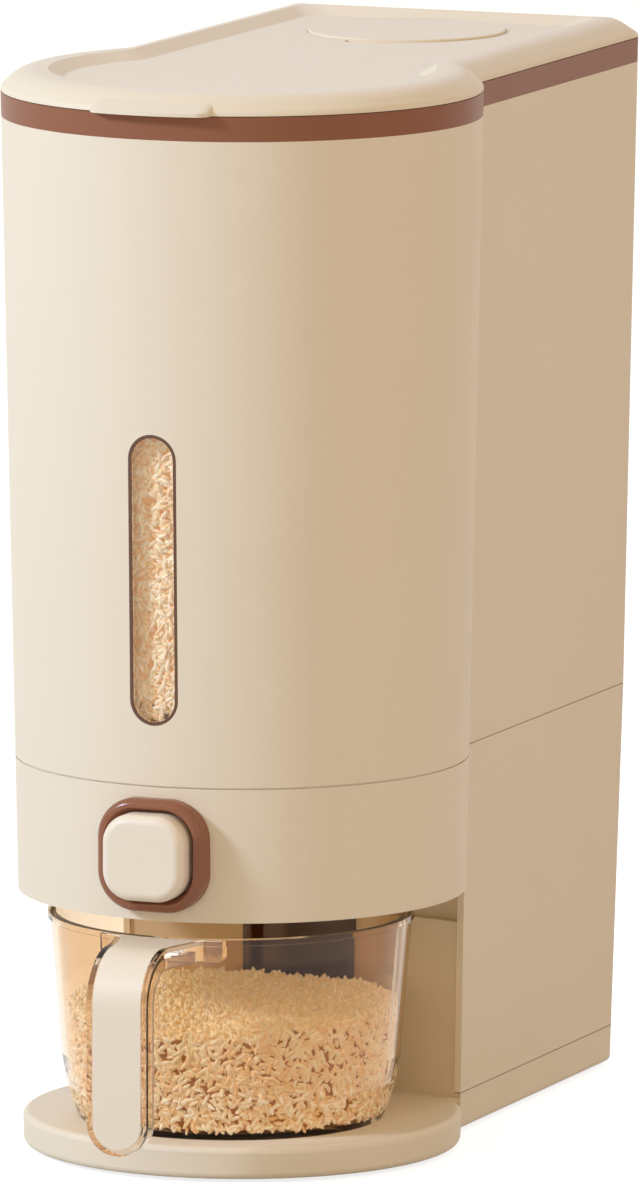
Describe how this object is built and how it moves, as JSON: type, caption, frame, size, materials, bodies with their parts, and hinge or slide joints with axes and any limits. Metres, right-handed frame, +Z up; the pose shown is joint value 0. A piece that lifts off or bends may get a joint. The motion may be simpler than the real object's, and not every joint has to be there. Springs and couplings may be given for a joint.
{
  "type": "rice dispenser with pull-out cup",
  "caption": "Tall keyhole-plan rice bin with hinged lid, window, push-button shutter and a tinted pull-out cup with handle.",
  "frame": {"origin": "on the floor under the middle of the bounding box", "axes": "+Z up, -Y towards the user (button and handle side), +X to the user's right"},
  "size_m": [0.1804, 0.3524, 0.408],
  "materials": {
    "body_plastic": "satin cream ABS",
    "button_plastic": "smooth cream",
    "trim_plastic": "brown, satin to gloss",
    "inner_plastic": "natural white",
    "window_plastic": "clear, slightly amber",
    "cup_plastic": "tinted clear",
    "seal_rubber": "matt",
    "steel": "zinc plated"
  },
  "bodies": {
    "housing": {"base_tray": "body_plastic", "foot_1": "seal_rubber", "foot_2": "seal_rubber", "foot_3": "seal_rubber", "foot_4": "seal_rubber", "foot_5": "seal_rubber", "foot_6": "seal_rubber", "base_screws": "steel", "lower_housing": "body_plastic", "mechanism_floor": "body_plastic", "floor_screws": "steel", "outlet_spout": "inner_plastic", "shutter_guide": "inner_plastic", "button_bezel": "trim_plastic", "return_spring": "steel", "hopper": "inner_plastic", "tank_shell": "body_plastic", "window_gasket": "seal_rubber", "window_lens": "window_plastic", "trim_band": "trim_plastic", "hinge_pin": "steel"},
    "button": {"button_cap": "button_plastic", "button_stem": "inner_plastic", "shutter_plate": "inner_plastic"},
    "lid": {"lid": "body_plastic", "lid_gasket": "seal_rubber", "desiccant_box": "inner_plastic"},
    "desiccant_lid": {"desiccant_cover": "body_plastic"},
    "cup": {"cup_body": "cup_plastic", "handle_frame": "cup_plastic", "handle_insert": "button_plastic"}
  },
  "joints": [
    {"name": "lid_hinge", "type": "hinge", "parent": "housing", "child": "lid", "pos_m": [0, 0.1726, 0.3999], "axis": [-1, 0, 0], "range_deg": [0, 100]},
    {"name": "desiccant_cover_lift", "type": "slide", "parent": "lid", "child": "desiccant_lid", "axis": [0, 0, 1], "range_m": [0, 0.03]},
    {"name": "button_press", "type": "slide", "parent": "housing", "child": "button", "axis": [0, 1, 0], "range_m": [0, 0.012], "stiffness_N_per_m": 250, "springref_m": -0.01, "deforming": ["return_spring"]},
    {"name": "cup_pull", "type": "slide", "parent": "housing", "child": "cup", "axis": [0, -1, 0], "range_m": [0, 0.16]}
  ]
}
